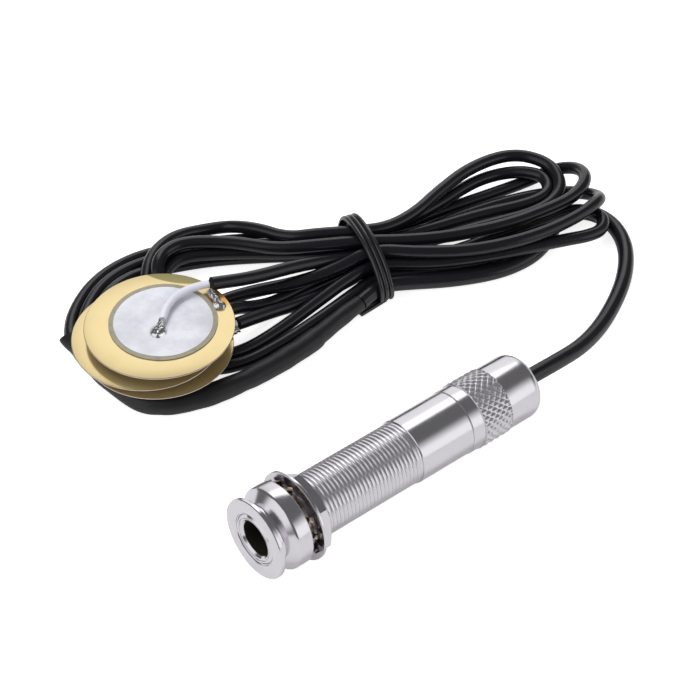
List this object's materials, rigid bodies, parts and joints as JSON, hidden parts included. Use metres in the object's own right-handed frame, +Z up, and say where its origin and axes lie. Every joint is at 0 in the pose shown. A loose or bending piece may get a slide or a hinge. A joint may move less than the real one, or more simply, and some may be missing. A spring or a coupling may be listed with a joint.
{
  "type": "piezo pickup",
  "caption": "Instrument piezo pickup: a nickel end-pin jack with strap button and knurled rear cap, a main cable spliced under heat-shrink to three thin cables tied in a hank, and three stacked 27 mm piezo discs.",
  "frame": {"origin": "centre of the bounding box of the jack and discs on the ground under it", "axes": "+Z up from the ground, +Y from the jack towards the discs, +X along the jack from its mouth to its cable"},
  "size_m": [0.1103, 0.0834, 0.0163],
  "materials": {
    "nickel": "polished",
    "nickel_thread": "satin",
    "phenolic": "satin",
    "spring_metal": "satin",
    "liner": "matte",
    "cable_pvc": "gloss",
    "heat_shrink": "satin",
    "tie_pvc": "gloss",
    "brass": "satin",
    "ceramic": "matte",
    "silver": "matte",
    "solder": "polished",
    "core_insulation": "translucent",
    "tinned_braid": "bright"
  },
  "bodies": {
    "root": {"strap_button": "nickel", "lock_washer": "nickel", "flat_washer": "nickel", "hex_nut": "nickel", "barrel": "nickel_thread", "rear_cap": "nickel", "contact_plug": "phenolic", "tip_spring": "spring_metal", "tip_lug": "spring_metal", "ground_clamp": "spring_metal", "lug_sleeve": "liner", "jack_core": "core_insulation", "jack_solder": "solder", "main_cable": "cable_pvc", "splice_sleeve": "heat_shrink", "disc_cable_1": "cable_pvc", "disc_cable_2": "cable_pvc", "disc_cable_3": "cable_pvc", "bundle_tie": "tie_pvc", "brass_plate_1": "brass", "ceramic_1": "ceramic", "electrode_1": "silver", "core_wire_1": "core_insulation", "shield_tail_1": "tinned_braid", "centre_solder_1": "solder", "edge_solder_1": "solder", "brass_plate_2": "brass", "ceramic_2": "ceramic", "electrode_2": "silver", "core_wire_2": "core_insulation", "shield_tail_2": "tinned_braid", "centre_solder_2": "solder", "edge_solder_2": "solder", "brass_plate_3": "brass", "ceramic_3": "ceramic", "electrode_3": "silver", "core_wire_3": "core_insulation", "shield_tail_3": "tinned_braid", "centre_solder_3": "solder", "edge_solder_3": "solder"}
  },
  "joints": []
}
